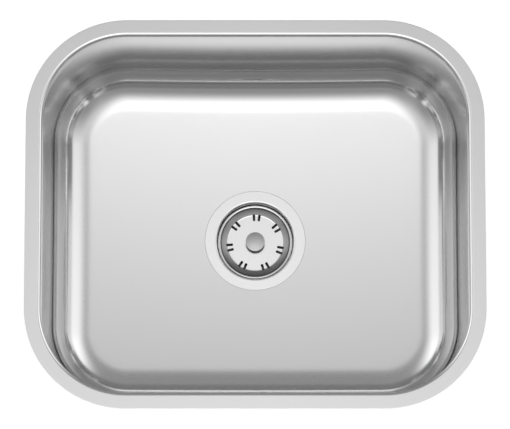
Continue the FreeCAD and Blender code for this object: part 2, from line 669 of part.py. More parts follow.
def make_claw(place):
    """The claw: a threaded plate that lies along the wall at rest, with a tooth at its tip."""
    label = f"clamp_claw_{place}"
    body = new_body(label)
    plan = new_sketch(body, f"claw_plan_{place}", "XY_Plane", "0 - dim.claw_depth")
    half = "dim.claw_width / 2"
    draw_profile(plan, [
        (f"0 - {half}", f"{SCREW_AXIS} - {half}", {"round": f"0.9 * {half}"}),
        ("dim.claw_reach", f"{SCREW_AXIS} - {half}"),
        ("dim.claw_reach", f"{SCREW_AXIS} + {half}"),
        (f"0 - {half}", f"{SCREW_AXIS} + {half}", {"round": f"0.9 * {half}"}),
    ])
    pad(body, f"claw_plate_{place}", plan, "dim.claw_thick", reverse=True)
    tooth = new_sketch(body, f"claw_side_{place}", "XZ_Plane", f"0 - {SCREW_AXIS}")
    draw_profile(tooth, [
        ("dim.claw_reach - 2 * dim.claw_thick", "0 - dim.claw_depth"),
        ("dim.claw_reach", "0 - dim.claw_depth"),
        ("dim.claw_reach", "dim.claw_rise - dim.claw_depth"),
        ("dim.claw_reach - dim.claw_thick / 2", "dim.claw_rise - dim.claw_depth"),
    ])
    pad(body, f"claw_tooth_{place}", tooth, "dim.claw_width", midplane=True)
    hole = new_sketch(body, f"claw_hole_{place}", "XY_Plane", "0 - dim.claw_depth")
    draw_circle(hole, SCREW_HOLE, "0", SCREW_AXIS)
    cut(body, f"claw_thread_{place}", hole)
    return body


def make_strainer_body():
    """Flange and cup in one, with a cross over the outlet."""
    flange = "dim.flange_diameter / 2"
    bore = "dim.cup_bore / 2"
    under = "(0 - dim.flange_thick)"
    foot = CUP_FOOT
    body = turned("strainer_body", [
        (flange, "0"),
        (bore, "0", {"round": "dim.mouth_roll"}),
        (bore, f"{CUP_FLOOR} + dim.cup_bend"),
        (f"{bore} - dim.cup_bend", CUP_FLOOR),
        ("0", CUP_FLOOR),
        ("0", foot),
        (f"{CUP_OUTER} - dim.cup_bend - dim.cup_wall / 2", foot),
        (CUP_OUTER, f"{foot} + dim.cup_bend + dim.cup_wall / 2"),
        (CUP_OUTER, "0 - dim.mouth_roll"),
        (f"{CUP_OUTER} + dim.mouth_roll - dim.flange_thick", under),
        (flange, under),
    ])
    reach = "(dim.outlet_bore / 2 - dim.cross_rim)"
    bar = "dim.cross_bar / 2"
    hub = "dim.cross_hub / 2"
    window = new_sketch(body, "cross_window", "XY_Plane", CUP_FLOOR)
    draw_profile(window, [
        (f"sqrt({reach} ^ 2 - ({bar}) ^ 2)", bar, {"arc": reach}),
        (bar, f"sqrt({reach} ^ 2 - ({bar}) ^ 2)"),
        (bar, f"sqrt(({hub}) ^ 2 - ({bar}) ^ 2)", {"arc": hub, "left": True}),
        (f"sqrt(({hub}) ^ 2 - ({bar}) ^ 2)", bar),
    ])
    opening = cut(body, "cross_opening", window, "2 * dim.cup_wall")
    polar(body, "cross_openings", opening, "4")
    guide = new_sketch(body, "stem_guide", "XY_Plane", CUP_FLOOR)
    draw_circle(guide, "dim.stem_diameter + 2 * dim.stem_clear")
    cut(body, "stem_hole", guide, "2 * dim.cup_wall")
    return body


def ring(label, inner, outer, top, bottom):
    """A plain turned ring."""
    return turned(label, [(inner, top), (outer, top), (outer, bottom), (inner, bottom)])


def make_outlet_collar():
    """The threaded collar, brazed by its foot under the cup."""
    bore = "dim.outlet_bore / 2"
    thread = "dim.outlet_diameter / 2"
    foot = f"{thread} + dim.braze_reach"
    return turned("outlet_collar", [
        (bore, CUP_FOOT),
        (foot, CUP_FOOT),
        (foot, f"{CUP_FOOT} - dim.braze_thick"),
        (thread, f"{CUP_FOOT} - dim.braze_thick"),
        (thread, OUTLET_END),
        (bore, OUTLET_END),
    ])


def make_locknut():
    """The large ring nut that pulls the strainer down, with lugs to grip."""
    outer = f"({NUT_BORE} + dim.nut_ring)"
    foot = f"({NUT_TOP} - dim.nut_height)"
    body = ring("locknut", NUT_BORE, outer, NUT_TOP, foot)
    lug = new_sketch(body, "lug_plan", "XY_Plane", foot)
    half = "dim.lug_width / 2"
    draw_profile(lug, [
        (f"0 - {half}", f"{outer} - dim.nut_ring / 2"),
        (half, f"{outer} - dim.nut_ring / 2"),
        (half, f"{outer} + dim.lug_reach", {"round": "dim.lug_width / 6"}),
        (f"0 - {half}", f"{outer} + dim.lug_reach", {"round": "dim.lug_width / 6"}),
    ])
    polar(body, "lugs", pad(body, "lug", lug, "dim.nut_height / 2"), "dim.nut_lugs")
    bend_edges(body, "locknut_edge",
               lambda edge: level(edge, number(NUT_TOP)) and edge.BoundBox.XMax > number(outer) - 1e-4,
               "dim.nut_ease")
    return body


def make_coupling_nut():
    """The six-sided nut that holds the tailpiece to the outlet."""
    body = new_body("coupling_nut")
    foot = f"({TAIL_TOP} - dim.tail_flange - dim.union_floor)"
    top = f"({OUTLET_END} + dim.union_grip)"
    plan = new_sketch(body, "nut_plan", "XY_Plane", foot)
    corner = "(dim.union_width / sqrt(3))"
    draw_profile(plan, [(f"{corner} * cos({60 * turn})", f"{corner} * sin({60 * turn})",
                         {"round": "dim.union_width / 20"}) for turn in range(6)])
    pad(body, "nut_block", plan, f"{top} - {foot}")
    thread = new_sketch(body, "nut_thread", "XY_Plane", top)
    draw_circle(thread, "dim.outlet_diameter + 2 * dim.thread_clear")
    cut(body, "nut_bore", thread, f"{top} - {foot} - dim.union_floor")
    throat = new_sketch(body, "nut_throat", "XY_Plane", foot)
    draw_circle(throat, "dim.tail_diameter + 8 * dim.thread_clear")
    cut(body, "nut_hole", throat)

    def outer_edge(edge):
        flat = level(edge, number(top)) or level(edge, number(foot))
        middle = edge.CenterOfMass
        return flat and math.hypot(middle.x, middle.y) > number("dim.union_width") / 2 - 1e-4

    bend_edges(body, "nut_edges", outer_edge, "dim.nut_ease")
    return body


def make_tailpiece():
    tube = "dim.tail_diameter / 2"
    bore = "dim.tail_diameter / 2 - dim.tail_wall"
    foot = f"({TAIL_TOP} - dim.tail_flange - dim.tail_length)"
    return turned("tailpiece", [
        (bore, TAIL_TOP),
        ("dim.outlet_diameter / 2 - dim.tail_wall", TAIL_TOP),
        ("dim.outlet_diameter / 2 - dim.tail_wall", f"{TAIL_TOP} - dim.tail_flange"),
        (tube, f"{TAIL_TOP} - dim.tail_flange"),
        (tube, foot),
        (bore, foot),
    ])


def make_basket():
    """The basket: a shallow pressed dish with a hollow wall, a beaded lip and pairs of slots."""
    lip = "(0 - dim.basket_drop)"
    edge = "dim.basket_diameter / 2"
    bead = "(((dim.lip_land / 2) ^ 2 + dim.lip_rise ^ 2) / (2 * dim.lip_rise))"
    bead_foot = f"({lip} - dim.lip_rise)"
    wall = f"({edge} - dim.lip_land)"
    floor = "dim.basket_floor / 2"
    hole = "dim.stud_diameter / 2 + dim.fit_clear"
    steel = "dim.basket_sheet"
    body = turned("basket_dish", [
        (hole, DISH_FLOOR),
        (floor, DISH_FLOOR, {"arc": "dim.basket_curve"}),
        (wall, bead_foot, {"arc": bead, "left": True}),
        (edge, bead_foot),
        (edge, f"{lip} - dim.lip_turn"),
        (f"{edge} - {steel}", f"{lip} - dim.lip_turn"),
        (f"{edge} - {steel}", bead_foot),
        (f"{wall} + 0.9 * {steel}", f"{bead_foot} - 0.4 * {steel}",
         {"arc": f"(dim.basket_curve + {steel})", "left": True}),
        (f"{floor} + 0.2 * {steel}", f"{DISH_FLOOR} - {steel}"),
        (hole, f"{DISH_FLOOR} - {steel}"),
    ])
    slots = new_sketch(body, "slot_pair", "XY_Plane", DISH_FLOOR)
    start = "(dim.basket_floor / 2 - dim.slot_margin - dim.slot_length)"
    end = "(dim.basket_floor / 2 - dim.slot_margin)"
    half = "dim.slot_width / 2"
    for angle in ("dim.slot_spread", "(0 - dim.slot_spread)"):
        corners = []
        for along, across in ((start, f"(0 - {half})"), (start, half), (end, half), (end, f"(0 - {half})")):
            x = f"{across} * cos({angle}) + {along} * sin({angle})"
            y = f"{along} * cos({angle}) - {across} * sin({angle})"
            corners.append((x, y, {"round": f"0.9 * {half}"}))
        draw_profile(slots, corners)
    pair = cut(body, "slot_cut", slots, f"2 * {steel}")
    polar(body, "slot_cuts", pair, "dim.slot_pairs")
    return body


def make_knob():
    """The moulded knob that the stem's stud is pressed into."""
    stud = "dim.stud_diameter / 2 + dim.fit_clear"
    side = "dim.knob_diameter / 2 - dim.cap_reach"
    roof = f"{DISH_FLOOR} + dim.stud_length + dim.fit_clear"
    return turned("basket_knob", [
        (stud, DISH_FLOOR),
        (side, DISH_FLOOR),
        (side, CAP_FOOT),
        ("0", CAP_FOOT),
        ("0", roof),
        (stud, roof),
    ])


def make_knob_cap():
    """The crowned steel cap on the knob."""
    edge = "dim.knob_diameter / 2"
    crown = f"((({edge}) ^ 2 + dim.knob_crown ^ 2) / (2 * dim.knob_crown))"
    return turned("knob_cap", [
        ("0", CAP_FOOT),
        (edge, CAP_FOOT),
        (edge, f"{CAP_FOOT} + dim.cap_thick", {"arc": crown}),
        ("0", f"{CAP_FOOT} + dim.cap_thick + dim.knob_crown"),
    ])


def make_stem():
    """The stem: a stud in the knob, a collar under the basket and a guide through the cross."""
    collar = f"{DISH_FLOOR} - dim.basket_sheet"
    return turned("basket_stem", [
        ("0", f"{DISH_FLOOR} + dim.stud_length"),
        ("dim.stud_diameter / 2", f"{DISH_FLOOR} + dim.stud_length"),
        ("dim.stud_diameter / 2", collar),
        ("dim.stem_collar / 2", collar),
        ("dim.stem_collar / 2", STOPPER_TOP),
        ("dim.stem_diameter / 2", STOPPER_TOP),
        ("dim.stem_diameter / 2", f"{CUP_FLOOR} - dim.stem_tail + dim.stem_diameter / 4"),
        ("dim.stem_diameter / 4", f"{CUP_FLOOR} - dim.stem_tail"),
        ("0", f"{CUP_FLOOR} - dim.stem_tail"),
    ])


def make_stopper():
    """The rubber stopper: a plate with a skirt that closes the outlet."""
    outer = "dim.stopper_diameter / 2"
    hole = "dim.stem_diameter / 2 + dim.fit_clear"
    under = f"{STOPPER_TOP} - dim.stopper_thick"
    return turned("stopper_seal", [
        (hole, STOPPER_TOP),
        (f"{outer} - dim.stopper_thick / 3", STOPPER_TOP),
        (outer, f"{STOPPER_TOP} - dim.stopper_thick / 3"),
        (outer, STOPPER_FOOT),
        (f"{outer} - dim.stopper_skirt", STOPPER_FOOT),
        (f"{outer} - dim.stopper_skirt", under),
        (hole, under),
    ])


rounds = [
    make_strainer_body(),
    make_outlet_collar(),
    ring("flange_seal", "dim.drain_diameter / 2 + dim.steel", "dim.flange_diameter / 2 - dim.flange_thick",
         "0 - dim.flange_thick", f"0 - {STACK}"),
    ring("body_gasket", f"{CUP_OUTER} + dim.thread_clear", f"{CUP_OUTER} + dim.gasket_width",
         GASKET_TOP, f"{GASKET_TOP} - dim.gasket_thick"),
    ring("friction_ring", f"{CUP_OUTER} + dim.thread_clear",
         f"{CUP_OUTER} + dim.gasket_width - dim.slip_thick",
         f"{GASKET_TOP} - dim.gasket_thick", NUT_TOP),
    make_locknut(),
    ring("tailpiece_washer", "dim.outlet_bore / 2", "dim.outlet_diameter / 2 - dim.thread_clear",
         OUTLET_END, TAIL_TOP),
    make_tailpiece(),
    make_coupling_nut(),
    make_basket(),
    make_knob(),
    make_knob_cap(),
    make_stem(),
    make_stopper(),
    ring("stopper_washer", "dim.stem_diameter / 2 + dim.fit_clear", "dim.washer_diameter / 2",
         f"{STOPPER_TOP} - dim.stopper_thick", f"{STOPPER_TOP} - dim.stopper_thick - dim.washer_thick"),
]
for body in rounds:
    body.setExpression("Placement.Base.z", FLANGE_TOP)
dish = doc.getObject("basket_dish")
dish.setExpression("Placement.Rotation.Angle", "dim.slot_turn")

pieces = [make_bowl(), make_rim_seal(), make_sound_pads()] + rounds
brackets = []
for place, angle, x, y in CLAMPS:
    bracket = make_bracket(place)
    stand(bracket, angle, x, y)
    brackets.append(bracket)
    for make in (make_screw, make_claw):
        piece = make(place)
        stand(piece, angle, x, y)
        pieces.append(piece)
pieces.append(group("clamp_brackets", brackets))
doc.recompute()

for item in doc.Objects:
    if "Invalid" in item.State or "Error" in item.State:
        raise ValueError(f"{item.Label} did not build: {item.State}")
os.makedirs("parts", exist_ok=True)
for piece in pieces:
    if piece.Shape.isNull() or not piece.Shape.isValid():
        raise ValueError(f"{piece.Label} has no valid shape")
    piece.Shape.exportStep(f"parts/{piece.Label}.step")
    print(piece.Label, len(piece.Shape.Solids), round(piece.Shape.Volume))
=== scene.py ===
# %% [markdown]
# A drop-in kitchen sink: one pressed bowl of stainless steel with a flat rim, and a basket
# strainer in its drain. The construction comes in as a fixed frame, in metres, and this lesson
# dresses it: clean meshes for the bowl and the basket's dish, threads, a finish for every piece,
# and a studio. The frame could be modelled again here, but then the two could drift apart.

# %% Load the frame
import json
import math

import bpy
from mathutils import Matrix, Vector


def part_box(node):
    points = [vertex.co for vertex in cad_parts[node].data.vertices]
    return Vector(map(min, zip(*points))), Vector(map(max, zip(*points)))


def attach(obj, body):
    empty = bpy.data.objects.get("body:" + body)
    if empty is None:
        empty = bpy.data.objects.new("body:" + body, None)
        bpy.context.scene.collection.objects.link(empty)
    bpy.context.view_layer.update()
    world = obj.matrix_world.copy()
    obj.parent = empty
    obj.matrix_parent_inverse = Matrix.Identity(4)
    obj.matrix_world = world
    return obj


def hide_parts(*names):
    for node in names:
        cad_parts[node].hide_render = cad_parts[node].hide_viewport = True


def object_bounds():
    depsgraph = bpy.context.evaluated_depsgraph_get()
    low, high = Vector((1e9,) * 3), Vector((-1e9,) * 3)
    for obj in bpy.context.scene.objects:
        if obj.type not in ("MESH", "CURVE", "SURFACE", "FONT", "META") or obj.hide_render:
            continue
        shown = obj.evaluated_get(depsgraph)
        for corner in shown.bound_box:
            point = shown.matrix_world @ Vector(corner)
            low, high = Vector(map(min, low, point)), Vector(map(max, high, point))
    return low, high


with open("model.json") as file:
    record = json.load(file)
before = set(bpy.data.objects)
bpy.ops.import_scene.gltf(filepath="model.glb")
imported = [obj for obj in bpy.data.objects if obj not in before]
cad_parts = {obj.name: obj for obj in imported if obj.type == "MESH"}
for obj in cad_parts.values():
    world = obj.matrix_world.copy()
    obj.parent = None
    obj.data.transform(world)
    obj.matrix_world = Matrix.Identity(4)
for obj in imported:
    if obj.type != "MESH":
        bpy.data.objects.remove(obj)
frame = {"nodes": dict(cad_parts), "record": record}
cad_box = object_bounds()
nodes = frame["nodes"]
MM = 0.001

# %% [markdown]
# The photograph looks down into the bowl from a little in front of it. A long lens far away
# keeps the rim's sides nearly parallel, so the camera stands over four metres off. Its tilt and
# distance could be guessed by eye, but they follow from how much the drain, deep in the bowl,
# is shifted and shrunk against the rim.

# %% Camera
CAMERA_TILT = math.radians(9.9818)
CAMERA_DISTANCE = 4.28625
AIM = Vector((-0.000243, -0.001851, 0.003))
SENSOR_WIDTH = 36
LENS = 278.975

camera = bpy.data.objects.new("camera", bpy.data.cameras.new("camera"))
camera.data.sensor_width = SENSOR_WIDTH
camera.data.lens = LENS
camera.location = AIM + CAMERA_DISTANCE * Vector((0, -math.sin(CAMERA_TILT), math.cos(CAMERA_TILT)))
camera.rotation_euler = (CAMERA_TILT, 0, 0)
bpy.context.scene.collection.objects.link(camera)
bpy.context.scene.camera = camera
print("camera at", [round(value, 3) for value in camera.location])

# %% [markdown]
# Every finish below is a small graph of shader nodes. Wiring them by hand takes many lines, so
# a value on a surface is wrapped in a class that takes part in Python sums: `1 - mask` adds the
# Math node by itself. Any other node comes from one method of the graph.

# %% Values on a surface, and finishes
NOISE_MIDDLE = 0.5
# Sockets of a Mix node that mixes colours: several share a name, so they go by number.
MIX_SHARE, MIX_FIRST, MIX_SECOND, MIX_COLOUR = 0, 6, 7, 2


class Field:
    """A value that changes over a surface: an output socket that takes part in sums."""

    def __init__(self, graph, socket):
        self.graph = graph
        self.socket = socket

    def math(self, operation, *others):
        sockets = dict(enumerate((self,) + others))
        return self.graph.node("ShaderNodeMath", {"operation": operation}, sockets)

    def __add__(self, other):
        return self.math("ADD", other)

    def __sub__(self, other):
        return self.math("SUBTRACT", other)

    def __rsub__(self, other):
        return self.graph.node("ShaderNodeMath", {"operation": "SUBTRACT"}, {0: other, 1: self})

    def __mul__(self, other):
        return self.math("MULTIPLY", other)

    def __truediv__(self, other):
        return self.math("DIVIDE", other)

    __radd__ = __add__
    __rmul__ = __mul__

    def swing(self, amount, middle=NOISE_MIDDLE):
        """A noise moved so that its middle is 0, and scaled."""
        return (self - middle) * amount

    def between(self, low, high):
        """0 below low, 1 above high, and smooth between them."""
        return self.graph.node("ShaderNodeMapRange", {"interpolation_type": "SMOOTHSTEP"},
                               {"Value": self, "From Min": low, "From Max": high})


class Graph:
    """A tree of shader nodes."""

    def __init__(self, tree):
        self.tree = tree

    def node(self, kind, settings=None, sockets=None, out=0):
        """Adds a node: its settings first, then the values or links of its sockets."""
        made = self.tree.nodes.new(kind)
        for name, value in (settings or {}).items():
            setattr(made, name, value)
        for name, value in (sockets or {}).items():
            self.join(value, made.inputs[name])
        return Field(self, made.outputs[out])

    def join(self, value, socket):
        if isinstance(value, Field):
            self.tree.links.new(value.socket, socket)
        else:
            socket.default_value = value

    def axis(self, vector, name):
        """One of the three numbers of a vector."""
        return self.node("ShaderNodeSeparateXYZ", None, {0: vector}, out=name)


class Finish(Graph):
    """One procedural material, with its surface shader ready."""

    made = {}

    def __init__(self, name, metallic=0.0):
        self.material = bpy.data.materials.new(name)
        self.made[name] = self
        self.material.use_nodes = True
        super().__init__(self.material.node_tree)
        self.shader = self.tree.nodes["Principled BSDF"]
        self.shader.inputs["Metallic"].default_value = metallic

    def place(self):
        """Where a point is on the object, in metres at rest."""
        return self.node("ShaderNodeTexCoord", out="Object")

    def stretch(self, x, y, z):
        """The place, scaled on each axis."""
        return self.node("ShaderNodeVectorMath", {"operation": "MULTIPLY"},
                         {0: self.place(), 1: (x, y, z)})

    def noted(self, name):
        """The number that a mesh notes for each of its points."""
        return self.node("ShaderNodeAttribute", {"attribute_name": name}, out="Fac")

    def noise(self, vector, scale=1.0, detail=2.0):
        return self.node("ShaderNodeTexNoise", None,
                         {"Vector": vector, "Scale": scale, "Detail": detail})

    def cells(self, scale, out):
        """Small cells side by side: the Color of each, or the Distance to its middle."""
        return self.node("ShaderNodeTexVoronoi", None, {"Vector": self.place(), "Scale": scale}, out=out)

    def blend(self, share, first, second):
        """A colour between two, by a share from 0 to 1."""
        return self.node("ShaderNodeMix", {"data_type": "RGBA"},
                         {MIX_SHARE: share, MIX_FIRST: first, MIX_SECOND: second}, out=MIX_COLOUR)

    def tones(self, share, level, spread):
        """Greys from a little below a level to a little above it."""
        return self.blend(share, grey(level - spread), grey(level + spread))

    def bump(self, height, strength, distance):
        return self.node("ShaderNodeBump", None,
                         {"Height": height, "Strength": strength, "Distance": distance})

    def wear(self, **inputs):
        """Joins values to the shader's sockets, written with underscores for spaces."""
        for name, value in inputs.items():
            self.join(value, self.shader.inputs[name.replace("_", " ").title()])
        return self


def grey(level, warm=0.0):
    """A near-neutral colour, a little warmer where warm is above 0."""
    return (level * (1 + warm), level, level * (1 - warm), 1)


print("finishes have", [name for name in vars(Finish) if not name.startswith("_")])

# %% [markdown]
# The bowl is drawn from one sheet in a press, so all its outlines are the same rounded rectangle
# set in by more and more: the flat rim, the roll at its inner edge, the leaning wall, and the
# wide bend into the floor. The frame's mesh has long thin triangles, which spoil reflections in
# polished steel, so the bowl is made again from rings of quads, one ring for each step down.

# %% Sizes of the pressed bowl
QUARTER_TURN = math.pi / 2
RIM_CORNER = 110.0
SHEET = 1.0
RIM_FLAT = 14.0
LIP_RADIUS = 4.0
WALL_LEAN = math.radians(3.0)
FLOOR_BEND = 47.0
FLOOR_CURVE = 2000.0
RECESS_GAP = 0.05
RECESS_INSET = 0.2
RECESS_DEPTH = 2.2
DRAIN_RADIUS = 45.0

half_length, half_width, rim_top = (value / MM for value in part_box("sink_bowl")[1])
flange_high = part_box("strainer_body")[1]
flange_level = flange_high.z / MM
recess_radius = flange_high.x / MM + RECESS_GAP + RECESS_INSET
floor_centre = Vector((0, 0, flange_level + math.sqrt(FLOOR_CURVE ** 2 - recess_radius ** 2)))
lip_turn = QUARTER_TURN - WALL_LEAN
wall_start = RIM_FLAT + LIP_RADIUS * math.tan(lip_turn / 2)


def on_floor(point, below=0.0):
    """The point moved straight up or down to the dished floor, or to a skin below it."""
    drop = math.sqrt((FLOOR_CURVE + below) ** 2 - point.x ** 2 - point.y ** 2)
    return Vector((point.x, point.y, floor_centre.z - drop))


print("floor at the drain", round(flange_level, 1), "mm below the worktop, dished to", FLOOR_CURVE, "mm")

# %% [markdown]
# One walk round the rim's outer edge gives every ring the same number of points, so rings can be
# joined point by point. A curve could be offset instead, but its points would not stay paired.
# Round the drain the outline has to become a circle, and there a point keeps its bearing.

# %% Rings of the bowl
CORNER_STEPS = 28
LONG_STEPS = 24
SHORT_STEPS = 18
CORNERS = ((1, 1), (-1, 1), (-1, -1), (1, -1))


def towards(turn):
    """The level direction at an angle from the X axis."""
    return Vector((math.cos(turn), math.sin(turn), 0))


def rim_edge():
    """Points round the rim's outer edge, each with the direction that points outwards."""
    points = []
    for corner, (side_x, side_y) in enumerate(CORNERS):
        centre = Vector((side_x * (half_length - RIM_CORNER), side_y * (half_width - RIM_CORNER), 0))
        for step in range(CORNER_STEPS):
            outwards = towards(QUARTER_TURN * (corner + step / CORNER_STEPS))
            points.append((centre + RIM_CORNER * outwards, outwards))
        outwards = towards(QUARTER_TURN * (corner + 1))
        start = centre + RIM_CORNER * outwards
        if corner % 2 == 0:
            along, count = Vector((-2 * centre.x, 0, 0)), LONG_STEPS
        else:
            along, count = Vector((0, -2 * centre.y, 0)), SHORT_STEPS
        points += [(start + along * step / count, outwards) for step in range(count)]
    return points


edge = rim_edge()


def outline(inset, height):
    """The rim's outline set in by some way, at one height."""
    return [point - inset * outwards + Vector((0, 0, height)) for point, outwards in edge]


def circle(radius, height):
    """A circle about the drain with as many points, each on the bearing of its point on the rim."""
    return [point.normalized() * radius + Vector((0, 0, height)) for point, outwards in edge]


print("each ring has", len(edge), "points")

# %% [markdown]
# The bend between wall and floor is the path of a ball that rolls along both. The floor is dished
# towards the drain, so the ball rises a little towards the corners, and its centre is found for
# every point of the outline: a bend's radius away from the leaning wall and from the dished floor.

# %% Ball that rolls round the floor
SEEK_STEPS = 8


def ball(point, outwards):
    """Centre of the ball beside one point of the rim, and its directions to wall and floor."""
    height = flange_level + FLOOR_BEND
    for step in range(SEEK_STEPS):
        inset = wall_start + FLOOR_BEND / math.cos(WALL_LEAN) + (rim_top - height) * math.tan(WALL_LEAN)
        centre = on_floor(point - inset * outwards, -FLOOR_BEND)
        height = centre.z
    to_wall = outwards * math.cos(WALL_LEAN) - Vector((0, 0, math.sin(WALL_LEAN)))
    return centre, to_wall, (centre - floor_centre).normalized()


balls = [ball(point, outwards) for point, outwards in edge]


def bend(share, radius):
    """A ring of the bend, from the wall at share 0 to the floor at share 1."""
    return [centre + radius * to_wall.slerp(to_floor, share) for centre, to_wall, to_floor in balls]


print("bend starts", round(-bend(0, FLOOR_BEND)[0].z), "mm down")

# %% [markdown]
# A new piece moves with one body of the frame, as if it were welded or screwed to it, and takes its
# finish from a slot of the record. Each piece could be set up by hand, but one function for all of
# them forgets none. A second function notes a number for each point of a mesh, for a finish to read.

# %% New pieces
NEW_SHARP = math.radians(40)
new_meshes = []


def new_piece(name, points, faces, body, slot):
    """A smooth mesh that moves with a body and takes its finish from a slot of the record."""
    mesh = bpy.data.meshes.new(name)
    mesh.from_pydata([tuple(point) for point in points], [], faces)
    mesh.shade_smooth()
    mesh.set_sharp_from_angle(angle=NEW_SHARP)
    piece = bpy.data.objects.new(name, mesh)
    bpy.context.scene.collection.objects.link(piece)
    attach(piece, body)
    new_meshes.append((mesh, slot))
    return piece


def note(piece, name, values):
    """Writes one number for each point of a mesh, for a finish to read."""
    attribute = piece.data.attributes.new(name, "FLOAT", "POINT")
    attribute.data.foreach_set("value", values)


print("new pieces keep edges sharp above", round(math.degrees(NEW_SHARP)), "degrees")

# %% [markdown]
# The press leaves the steel satin, and the rim and the floor stay so. The walls and the bends are
# polished after drawing, which is why they mirror the room in dark and bright bands. Each ring
# therefore also carries how polished it is, as an attribute that the finish reads later. A second
# set of rings, one sheet's thickness below, closes the mesh.

# %% Pressed bowl
LIP_STEPS = 10
BEND_STEPS = 32
WALL_STEPS = 8
FLOOR_STEPS = 20
LAST_FLOOR_RING = 0.99
RECESS_WALL = ((0.1, 0.9), (0.9, 0.1), (1.2, 0))
RIM_EDGE = 0.35
EDGE_ROUND = 0.3 * RIM_EDGE
LIP_SATIN = 0.3
BEND_SATIN = 0.5


def lip_ring(turn, radius):
    return RIM_FLAT + radius * math.sin(turn), rim_top - LIP_RADIUS + radius * math.cos(turn)


def steps(count, start=0.0, end=1.0):
    return [start + (end - start) * step / count for step in range(count + 1)]


def between(first, second, share):
    return [near.lerp(far, share) for near, far in zip(first, second)]


def skin(offset):
    """Rings of one face of the sheet, from the lip inwards, each with its polish."""
    rings = []
    for share in steps(LIP_STEPS):
        rings.append((outline(*lip_ring(share * lip_turn, LIP_RADIUS - offset)), min(1, share / LIP_SATIN)))
    lip_end = rings[-1][0]
    bend_start = bend(0, FLOOR_BEND + offset)
    for share in steps(WALL_STEPS)[1:-1]:
        rings.append((between(lip_end, bend_start, share), 1))
    for share in steps(BEND_STEPS):
        rings.append((bend(share, FLOOR_BEND + offset), min(1, (1 - share) / BEND_SATIN)))
    floor_edge = rings[-1][0]
    mouth = circle(recess_radius + offset, 0)
    for share in steps(FLOOR_STEPS)[1:-1] + [LAST_FLOOR_RING, 1]:
        rings.append(([on_floor(point, offset) for point in between(floor_edge, mouth, share)], 0))
    seat = flange_level - RECESS_DEPTH - offset
    for inset, rise in RECESS_WALL:
        rings.append((circle(recess_radius + offset - inset * RECESS_INSET, seat + rise * RECESS_DEPTH), 0))
    rings.append((circle(DRAIN_RADIUS, seat), 0))
    return rings


rim = [(0, rim_top - SHEET), (0, rim_top - RIM_EDGE), (EDGE_ROUND, rim_top - EDGE_ROUND),
       (RIM_EDGE, rim_top), (2 * RIM_EDGE, rim_top), (RIM_FLAT / 2, rim_top),
       (RIM_FLAT - RIM_EDGE, rim_top)]
upper = [(outline(*place), 0) for place in rim] + skin(0)
lower = [(outline(RIM_FLAT / 2, rim_top - SHEET), 0)] + skin(SHEET)
rings = upper + lower[::-1]

count = len(edge)
points = [point * MM for ring, polish in rings for point in ring]
faces = []
for first in range(len(rings)):
    second = (first + 1) % len(rings)
    for step in range(count):
        after = (step + 1) % count
        faces.append((first * count + step, first * count + after,
                      second * count + after, second * count + step))

bowl = new_piece("pressed_bowl", points, faces, "sink", "bowl_steel")
note(bowl, "polish", [polish for ring, polish in rings for point in ring])
note(bowl, "outside", [float(ring >= len(upper)) for ring in range(len(rings)) for step in range(count)])
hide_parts("sink_bowl")
print("pressed bowl:", len(rings), "rings,", len(faces), "faces")

# %% [markdown]
# The basket is a second pressing: a flat floor with seven pairs of slots, and a polished wall that
# rises, slightly hollow, to a rolled lip. The outer ends of the slots reach just into the wall. Slots
# could be cut out by a Boolean, but here the columns of the mesh crowd at each slot, so a slot is a
# patch of faces left out of both skins of the sheet, with a narrow wall round it.

# %% Columns of the dish
SLOT_PAIRS = 7
SLOT_WIDTH = 2.9
SLOT_INNER = 25.2
SLOT_OUTER = 32.9
SLOT_ROUND = 0.9 * SLOT_WIDTH / 2
SLOT_SPREAD = math.radians(5.8)
SLOT_TURN = math.radians(87)
SLOT_COLUMNS = (-1, -0.85, -0.5, 0, 0.5, 0.85, 1)
PAIR_COLUMNS = 3
GAP_COLUMNS = 10


def bearings(radius):
    """Angles of the dish's columns at one radius; the sides of a slot run parallel."""
    reach = min(max(radius, SLOT_INNER), SLOT_OUTER)
    half = math.asin(SLOT_WIDTH / 2 / reach)
    pitch = math.tau / SLOT_PAIRS
    angles = []
    for pair in range(SLOT_PAIRS):
        middle = SLOT_TURN + pitch * pair
        for start, end, columns in ((-SLOT_SPREAD, SLOT_SPREAD, PAIR_COLUMNS),
                                    (SLOT_SPREAD, pitch - SLOT_SPREAD, GAP_COLUMNS)):
            angles += [middle + start + half * offset for offset in SLOT_COLUMNS]
            gap = end - start - 2 * half
            angles += [middle + start + half + gap * step / columns for step in range(1, columns)]
    return angles


def slot_offsets():
    """For each column, how far across its slot it runs, from -1 to 1, or None beside the slots."""
    offsets = []
    for columns in (PAIR_COLUMNS, GAP_COLUMNS):
        offsets += list(SLOT_COLUMNS) + [None] * (columns - 1)
    return offsets * SLOT_PAIRS


def slot_end(offset):
    """How much the rounded end of a slot sets back a column."""
    if offset is None:
        return 0.0
    beside = max(0.0, abs(offset) * SLOT_WIDTH / 2 - SLOT_WIDTH / 2 + SLOT_ROUND)
    return SLOT_ROUND - math.sqrt(max(0.0, SLOT_ROUND ** 2 - beside ** 2))


offsets = slot_offsets()
columns = len(offsets)
print("the dish has", columns, "columns")

# %% [markdown]
# Seen from the side, the dish is one line from the hole for its stem to the outer edge of its lip.
# Spinning that line would give a dish without slots, so every ring is made column by column, and
# the ends of the slots are rounded by moving single points along the line.

